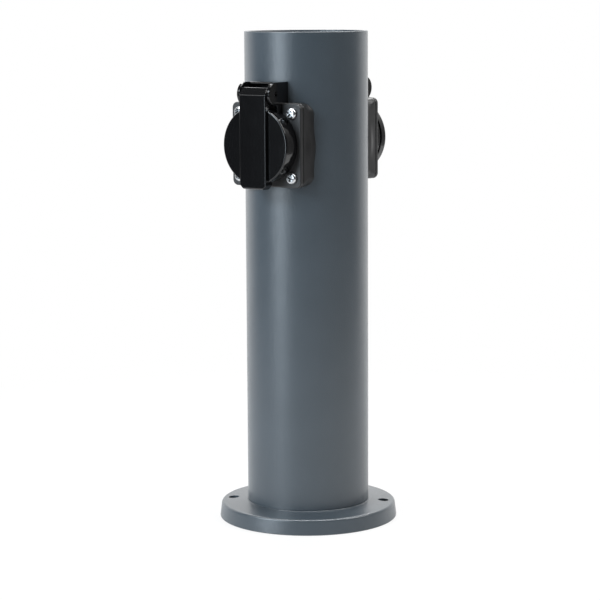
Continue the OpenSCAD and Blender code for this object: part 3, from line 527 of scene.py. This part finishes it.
def hood_outline():
    """Side of the hood's top and back walls, as (w, d), hollowed round the lid's knuckles."""
    top, back, clear = HINGE_W + CHEEK_R, PLATE_BACK + HOOD_WALL, CHEEK_R - 0.4
    under, edge = top - HOOD_WALL, HOOD_EDGE
    reach, rise = HOOD_FRONT - HINGE_D, under - HINGE_W
    start = math.degrees(math.atan2(reach, math.sqrt(clear ** 2 - reach ** 2)))
    end = math.degrees(math.atan2(-math.sqrt(clear ** 2 - rise ** 2), rise))
    return [
        (HOOD_FOOT, HINGE_ROOT), (top, HINGE_ROOT),
        *[(w, d) for d, w in arc(HOOD_FRONT - edge, top - edge, edge, 90, 0, 6)],
        *arc(HINGE_W, HINGE_D, clear, start, end, 6),
        (under, back), (HOOD_FOOT, back),
    ]


def tube_space(r):
    """The pillar's round space, seen from a socket."""
    reach = THROUGH_PILLAR
    space = lathe("space", [(0, -reach), (r, -reach), (r, reach), (0, reach)], 192)
    space.data.transform(LEVEL)
    return space


def pin_bore(clearance):
    """A cutter for the hinge pin's hole."""
    bore = rod(0, 0, PIN_R + clearance, -THROUGH_HINGE, THROUGH_HINGE, 40)
    bore.data.transform(PIN_PLACE)
    return bore


def hinge_block():
    """Hood and cheeks, cut back to the tube and to the plate."""
    hood_half = CHEEK_IN + 0.6
    hinge = prism("hinge", hood_outline(), -hood_half, hood_half, 0.25)
    for low, high in both_sides(CHEEK_IN, CHEEK_OUT):
        join(hinge, prism("cheek", cheek_outline(), low, high, 0.35))
    behind = rect(-30, 30, -PLATE_W / 2, PLATE_W / 2 + 0.1)
    behind = loft("behind", [[(x, y, d) for x, y in behind] for d in (0, PLATE_BACK)])
    cut(hinge, tube_space(TUBE_R + 0.1), behind)
    return hinge


def build_socket_body(side):
    half, inside = PLATE_W / 2, PLATE_BACK + 0.5
    stations = [(0.5, PLATE_BACK), (0.15, PLATE_BACK + 0.15), (0, inside)]
    stations += arc(PLATE_EDGE, PLATE_FRONT - PLATE_EDGE, PLATE_EDGE, 180, 90, 5)
    body = loft("plate", [rounded_loop(half, PLATE_CORNER, d, inset) for inset, d in stations])
    hinge = hinge_block()

    edge, soft, wall_front = COLLAR_EDGE, 0.2, 41
    collar = [(0, inside), (COLLAR_R, inside)]
    collar += arc(COLLAR_R - edge, COLLAR_FRONT - edge, edge, 0, 90, 4) + [(0, COLLAR_FRONT)]
    wall = [(0, INSERT_SEAT), (WELL_OUT_R - soft, INSERT_SEAT), (WELL_OUT_R, INSERT_SEAT + soft)]
    wall += [(WELL_OUT_R, wall_front), (0, wall_front)]
    join(body, lathe("wall", wall, 128), lathe("collar", collar, 160), hinge)
    cut(body, rod(0, 0, WELL_R, 20, COLLAR_FRONT, 160, 0.5))
    cut(body, *[rod(x, y, SCREW_CLEAR_R, 35, 50, 32) for x, y in SCREW_SPOTS])
    cut(body, pin_bore(0.02))
    for low, high in both_sides(RIB_IN, RIB_OUT):
        join(body, prism("rib", rect(-RIB_HALF, RIB_HALF, RIB_LOW, RIB_HIGH), low, high, 0.4))
    place, name = socket_place(side), f"{side}_socket_body"
    finish_piece(body, name, place, "pillar", "black_plastic", f"{side}_housing")

    # The flat plate is duller than the rest
    body.data.materials.append(FINISH["plate_plastic"])
    for face in body.data.polygons:
        out = abs(face.center.y) / MM
        up = abs(face.center.z / MM - SOCKET_Z)
        if out < PLATE_FRONT + 0.02 and up < half + 0.05:
            face.material_index = 1


def build_insert(side):
    """The well's floor, with a funnel mouth to each pin hole and the slots of the earth clip."""
    low, r, edge, soft = INSERT_SEAT - 2, WELL_R - 0.1, 0.4, 0.2
    profile = [(0, low), (WELL_OUT_R - soft, low), (WELL_OUT_R, low + soft)]
    profile += [(WELL_OUT_R, INSERT_SEAT), (r, INSERT_SEAT)]
    profile += arc(r - edge, WELL_FLOOR - edge, edge, 0, 90, 4) + [(0, WELL_FLOOR)]
    insert = lathe("insert", profile, 128)
    for x in (-PIN_SPACING / 2, PIN_SPACING / 2):
        cut(insert, rod(x, 0, CONTACT_R, 20, CONTACT_TOP))
        cut(insert, rod(x, 0, PIN_BORE_R, 28, WELL_FLOOR, 64, 0.6))
    slot_half = CLIP_W / 2 + 0.2
    for low, high in both_sides(CLIP_IN, CLIP_OUT):
        cut(insert, prism("slot", rect(low, high, 20, 32), -slot_half, slot_half))
    place, name = socket_place(side), f"{side}_well_floor"
    finish_piece(insert, name, place, "pillar", "white_plastic", f"{side}_insert")


def build_saddle_frame(side):
    """The frame between plate and tube, with rounder corners and a soft swell further back."""
    half, edge = PLATE_W / 2, FRAME_EDGE
    stations = [(0, d) for d in (20, 32, 33, 34, 35, 36, 37, FRAME_FRONT - edge)]
    stations += arc(edge, FRAME_FRONT - edge, edge, 180, 90, 4)[1:]

    def swell(d):
        height = FRAME_SWELL * min(1, max(0, (37 - d) / 4)) ** 1.5
        return lambda w: height * math.cos(math.pi / 2 * min(1, abs(w + 1.5) / 13)) ** 2

    def corner(d):
        return PLATE_CORNER + 3 * min(1, max(0, (38 - d) / 5))

    def pocket(low, high):
        loops = [rounded_loop(half - FRAME_WALL, PLATE_CORNER, d) for d in (low, high)]
        return loft("pocket", loops)

    loops = [rounded_loop(half, corner(d), d, inset, swell(d)) for inset, d in stations]
    saddle = loft("saddle", loops)
    cut(saddle, tube_space(TUBE_R + 0.1), rod(0, 0, WELL_OUT_R + 0.5, -5, 45, 128))
    cut(saddle, *[rod(x, y, SCREW_CLEAR_R, 0, 45, 32) for x, y in SCREW_SPOTS])
    rear_pocket = pocket(0, FRAME_FRONT + 1)
    boolean(rear_pocket, tube_space(TUBE_R + 0.6), "INTERSECT")
    cut(saddle, rear_pocket, pocket(PLATE_BACK - 0.5, PLATE_BACK + 1))
    place, name = socket_place(side), f"{side}_saddle_frame"
    finish_piece(saddle, name, place, "pillar", "frame_plastic", f"{side}_frame")


def screw_head(x, y, turn):
    """Pan head with a tapered cross recess, and its shank."""
    r, h, soft = SCREW_HEAD_R, SCREW_HEAD_H, 0.15
    dome, shank_r, tip_r, taper, tip = h * 0.6, 1.6, 1.3, -15.6, -16
    profile = [(0, tip), (tip_r, tip), (shank_r, taper), (shank_r, 0), (r - soft, 0), (r, soft)]
    profile += arc(r - dome, h - dome, dome, 0, 90, 8) + [(0, h)]
    head = lathe("head", profile, 64)
    recess = ((h * 0.15, 1.4, 0.45), (h + 0.1, 2.25, 0.6))
    for angle in (0, 90):
        loops = [[(u, w, z) for u, w in rect(-a, a, -b, b)] for z, a, b in recess]
        slot = loft("slot", loops)
        slot.data.transform(Matrix.Rotation(math.radians(angle), 4, "Z"))
        cut(head, slot)
    spin = Matrix.Rotation(math.radians(turn), 4, "Z")
    head.data.transform(Matrix.Translation((x, y, PLATE_FRONT)) @ spin)
    return head


def build_flange_screws(side):
    """Four screws, each with its cross at an angle of its own."""
    for sx, name_x in ((-1, "left"), (1, "right")):
        for sy, name_y in ((-1, "low"), (1, "high")):
            head = screw_head(sx * SCREW_AT, sy * SCREW_AT, sx * 24 + sy * 40)
            place, name = socket_place(side), f"{side}_screw_{name_y}_{name_x}"
            finish_piece(head, name, place, "pillar", "zinc", f"{side}_flange_screws")


# Lid

def strap_loop(w, half, front, back):
    """Cross-section of the strap at height w, with rounded long edges."""
    e, soft = min(STRAP_EDGE, (front - back) / 2.2, half / 2), 0.25
    points = [(-half + soft, back), (half - soft, back), (half, back + soft)]
    points += arc(half - e, front - e, e, 0, 90, 5) + arc(-half + e, front - e, e, 90, 180, 5)
    points += [(-half, back + soft)]
    return [(u, w, d) for u, d in points]


def strap_stations():
    """Heights of the strap with its half width, front and back there, from its lip upwards."""
    half, front, back = STRAP_HALF, STRAP_FRONT, STRAP_BACK
    lip_back, panel, shoulder = LID_BACK + 0.5, front - PANEL_DEPTH, STRAP_TOP - 0.6
    rows = []
    for step in (0.0, 0.12, 0.35, 0.7, 1.2, 1.8, 2.2, 2.6):
        side = max(0.0, STRAP_CHAMFER - step * 0.95)
        drop = 1.0 - math.sqrt(max(1.0 - (1 - min(step, 1.0)) ** 2, 0))
        lift = 0.4 * max(0.35 - step, 0)
        rows.append((STRAP_LOW + step, half - side, front - drop, lip_back + lift))
    rows += [(-21.0, half, front, lip_back), (-20.0, half, front, back)]
    rows += [(-17.6, half, front, back), (-17.4, half, panel, back)]
    rows += [(22.9, half, panel, back), (23.1, half, front, back), (29.6, half, front, back)]
    rows += [(w, half, f, back) for w, f in ((30.1, 55.72), (30.6, 55.45), (31.1, 55.1))]
    fallen = STRAP_FALL * (shoulder - STRAP_BEND) / (STRAP_TOP - STRAP_BEND)
    rows += [(shoulder, half, front - fallen, back)]
    rows += [(STRAP_TOP - 0.15, half - 0.1, 52.62, back + 0.05)]
    rows += [(STRAP_TOP, half - 0.3, 52.35, back + 0.15)]
    return rows


def knuckle_outline():
    """Side of a lid knuckle, round behind and flat where it meets the strap, as (w, d)."""
    back = STRAP_BACK + 0.35
    curve = arc(HINGE_W, HINGE_D, KNUCKLE_R, 180, 360, 20)
    return [*curve, (STRAP_TOP - 0.3, back), (HINGE_W - KNUCKLE_R - 1.6, back)]


def build_lid(side):
    r, edge, soft, gap = LID_R, LID_EDGE, 0.25, 0.02
    disc = [(0, LID_BACK), (r - soft, LID_BACK), (r, LID_BACK + soft)]
    disc += arc(r - edge, LID_FRONT - edge, edge, 0, 90, 7) + [(0, LID_FRONT)]
    lid = lathe("disc", disc, 192)
    join(lid, loft("strap", [strap_loop(*row) for row in strap_stations()]))
    lug = rect(-LUG_HALF, LUG_HALF, LID_BACK, LID_BACK + LUG_H)
    lug = prism("lug", lug, r - 0.6, r + 0.8, 0.3)
    lug.data.transform(Matrix.Rotation(math.radians(LUG_ANGLE), 4, "Z"))
    join(lid, lug)
    for low, high in both_sides(STRAP_HALF - KNUCKLE_W, STRAP_HALF):
        join(lid, prism("knuckle", knuckle_outline(), low + gap, high - gap, 0.2))

    floor, low, fillet = LID_FRONT - LID_SKIN, LID_BACK - 1, 0.5
    hollow = [(0, low), (LID_HOLLOW_R, low)]
    hollow += arc(LID_HOLLOW_R - fillet, floor - fillet, fillet, 0, 90, 4) + [(0, floor)]
    cut(lid, lathe("hollow", hollow, 160), pin_bore(0.05))
    place, name = socket_place(side), f"{side}_lid_cover"
    finish_piece(lid, name, place, f"{side}_lid", "black_plastic", f"{side}_lid")


def build_lid_seal(side):
    inner, outer, soft = WELL_R + 0.2, SEAL_OUT_R, 0.25
    profile = arc(inner + soft, LID_BACK + soft, soft, 270, 180, 3)
    profile += [(inner, SEAL_FRONT), (outer, SEAL_FRONT)]
    profile += arc(outer - soft, LID_BACK + soft, soft, 360, 270, 3)
    seal = lathe("seal", profile, 160)
    place, name = socket_place(side), f"{side}_lid_ring"
    finish_piece(seal, name, place, f"{side}_lid", "black_rubber", f"{side}_lid_seal")


def build_hinge_pin(side):
    half, soft = CHEEK_OUT - 1.3, 0.3
    profile = [(0, -half), (PIN_R - soft, -half), (PIN_R, -half + soft)]
    profile += [(PIN_R, half - soft), (PIN_R - soft, half), (0, half)]
    pin = lathe("pin", profile, 48)
    pin.data.transform(PIN_PLACE)
    place, name = socket_place(side), f"{side}_pin"
    finish_piece(pin, name, place, "pillar", "zinc", f"{side}_hinge_pin")


# Light, floor and camera; angles in degrees, lengths in metres

CAMERA_AZIMUTH = 34.95
CAMERA_DISTANCE, CAMERA_HEIGHT = 1.290, 0.325
CAMERA_YAW, CAMERA_PITCH, CAMERA_ROLL = -0.201, 8.370, -0.322
CAMERA_LENS = 126.816

# What gloss sees of the room, from behind the object at 0 to the camera's side at 1
ROOM_LEVELS = ((0.2, 1.3), (0.33, 0.15), (0.6, 0.035), (0.79, 0.02), (1.0, 0.02))
ROOM_DIFFUSE = 0.3

FLOOR_R, FLOOR_DROP = 0.75, 0.0002
FLOOR_FADE_START, FLOOR_FADE_END = 0.1, 0.5
FLOOR_GLOW_NEAR, FLOOR_GLOW_FAR, FLOOR_GLOW_LEAST = 0.86, 1.0, 0.4


def around(angle, distance, height):
    """A point that many degrees to the right of the camera, as seen by it, round the pillar."""
    turn = math.radians(CAMERA_AZIMUTH + angle)
    return Vector((distance * math.sin(turn), -distance * math.cos(turn), height))


def add_camera():
    yaw, pitch, roll = (math.radians(a) for a in (CAMERA_YAW, CAMERA_PITCH, CAMERA_ROLL))
    level = Vector((math.cos(yaw), -math.sin(yaw), 0))
    ahead = Vector((
        math.sin(yaw) * math.cos(pitch), math.cos(yaw) * math.cos(pitch), -math.sin(pitch),
    ))
    rise = level.cross(ahead)
    right = level * math.cos(roll) + rise * math.sin(roll)
    up = rise * math.cos(roll) - level * math.sin(roll)
    turn = Matrix((right, up, -ahead)).transposed().to_4x4()
    place = Matrix.Translation((0, -CAMERA_DISTANCE, CAMERA_HEIGHT))
    data = bpy.data.cameras.new("camera")
    data.lens, data.sensor_width = CAMERA_LENS, 36
    data.clip_start, data.clip_end = 0.05, 50
    camera = bpy.data.objects.new("camera", data)
    camera.matrix_world = Matrix.Rotation(math.radians(CAMERA_AZIMUTH), 4, "Z") @ place @ turn
    bpy.context.scene.collection.objects.link(camera)
    bpy.context.scene.camera = camera


def add_lamp(name, place, target, size, power, color=(1, 1, 1)):
    data = bpy.data.lights.new(name, "AREA")
    data.shape = "RECTANGLE"
    data.size, data.size_y = size
    data.energy = power
    data.color = color
    lamp = bpy.data.objects.new(name, data)
    lamp.location = place
    lamp.rotation_euler = (target - place).to_track_quat("-Z", "Y").to_euler()
    lamp.visible_camera = False
    bpy.context.scene.collection.objects.link(lamp)
    return lamp


def add_world():
    """White for the camera, plain for diffuse light, and for gloss a room, darker in front."""
    world = bpy.data.worlds.new("studio")
    bpy.context.scene.world = world
    world.use_nodes = True
    tree = world.node_tree
    coords = tree.nodes.new("ShaderNodeTexCoord")
    facing = tree.nodes.new("ShaderNodeVectorMath")
    facing.operation = "DOT_PRODUCT"
    facing.inputs[1].default_value = around(0, 1, 0)
    tree.links.new(coords.outputs["Generated"], facing.inputs[0])
    ramp = tree.nodes.new("ShaderNodeValToRGB")
    stops = ramp.color_ramp.elements
    for stop, (position, level) in zip(stops, (ROOM_LEVELS[0], ROOM_LEVELS[-1])):
        stop.position = position
        stop.color = (level, level, level, 1)
    for position, level in ROOM_LEVELS[1:-1]:
        stops.new(position).color = (level, level, level, 1)
    along = map_range(tree, facing.outputs["Value"], -1, 1, 0, 1)
    tree.links.new(along, ramp.inputs["Fac"])
    path = tree.nodes.new("ShaderNodeLightPath").outputs
    seen = combine(tree, "MAXIMUM", path["Is Camera Ray"], path["Is Transmission Ray"])
    room = mix(tree, "FLOAT", path["Is Glossy Ray"], ROOM_DIFFUSE, ramp.outputs["Color"])
    background = tree.nodes["Background"]
    tree.links.new(mix(tree, "FLOAT", seen, room, 1.0), background.inputs["Strength"])
    background.inputs["Color"].default_value = (1, 1, 1, 1)


def add_floor():
    """A pale round floor, nearly white to the camera, that keeps a soft shadow."""
    bm = bmesh.new()
    bmesh.ops.create_circle(bm, cap_ends=True, radius=FLOOR_R, segments=96)
    floor = mesh_object("floor", bm)
    floor.location.z = -FLOOR_DROP
    mat = bpy.data.materials.new("floor")
    mat.use_nodes = True
    tree = mat.node_tree
    shader = tree.nodes["Principled BSDF"]
    shader.inputs["Base Color"].default_value = (0.8, 0.8, 0.8, 1)
    shader.inputs["Roughness"].default_value = 0.9
    shader.inputs["Specular IOR Level"].default_value = 0
    coords = tree.nodes.new("ShaderNodeTexCoord")
    length = tree.nodes.new("ShaderNodeVectorMath")
    length.operation = "LENGTH"
    tree.links.new(coords.outputs["Object"], length.inputs[0])
    fade = map_range(
        tree, length.outputs["Value"],
        FLOOR_FADE_START, FLOOR_FADE_END, FLOOR_GLOW_NEAR, FLOOR_GLOW_FAR,
    )
    path = tree.nodes.new("ShaderNodeLightPath").outputs
    share = combine(tree, "MULTIPLY", fade, path["Is Camera Ray"])
    share = combine(tree, "MAXIMUM", share, FLOOR_GLOW_LEAST)
    glow = tree.nodes.new("ShaderNodeEmission")
    both = tree.nodes.new("ShaderNodeMixShader")
    tree.links.new(share, both.inputs["Fac"])
    tree.links.new(shader.outputs["BSDF"], both.inputs[1])
    tree.links.new(glow.outputs["Emission"], both.inputs[2])
    tree.links.new(both.outputs["Shader"], tree.nodes["Material Output"].inputs["Surface"])
    floor.data.materials.append(mat)


def add_light():
    """Two cool lamps at the left for the tube's highlight, and plain soft boxes round it."""
    middle = Vector((0, 0, 0.2))
    low, high = around(-51, 1.5, 0.21), around(-52.5, 1.5, 1.0)
    tint = (0.88, 1.0, 1.1)
    add_lamp("key_low", low, Vector((0, 0, low.z)), (0.6, 0.42), 6, tint)
    add_lamp("key_high", high, Vector((0, 0, high.z)), (0.85, 0.5), 26, tint)
    add_lamp("left_softbox", around(-80, 1.3, 0.75), middle, (0.5, 0.3), 1.4)
    add_lamp("top_softbox", around(0, 0.15, 1.45), middle, (1.5, 0.4), 4)
    # The strip lights gloss alone, for the crisp line along the base's edge
    edge_strip = add_lamp("edge_strip", around(0, 0.1, 1.2), middle, (1.2, 0.3), 17)
    edge_strip.visible_diffuse = False
    add_lamp("right_softbox", around(80, 1.0, 1.1), middle, (0.6, 0.6), 11)
    add_lamp("back_softbox", around(175, 1.0, 1.3), middle, (1.2, 0.6), 18)


# Build

build_tube()
build_base()
build_cap()
for side in ("front", "rear"):
    build_socket_body(side)
    build_insert(side)
    build_saddle_frame(side)
    build_flange_screws(side)
    build_lid(side)
    build_lid_seal(side)
    build_hinge_pin(side)

for row in frame["record"]["subparts"]:
    node = frame["nodes"][row["node"]]
    node.data.materials.clear()
    node.data.materials.append(FINISH[row["material_slot"]])

add_floor()
add_world()
add_light()
add_camera()
bpy.context.scene.view_settings.view_transform = "Standard"
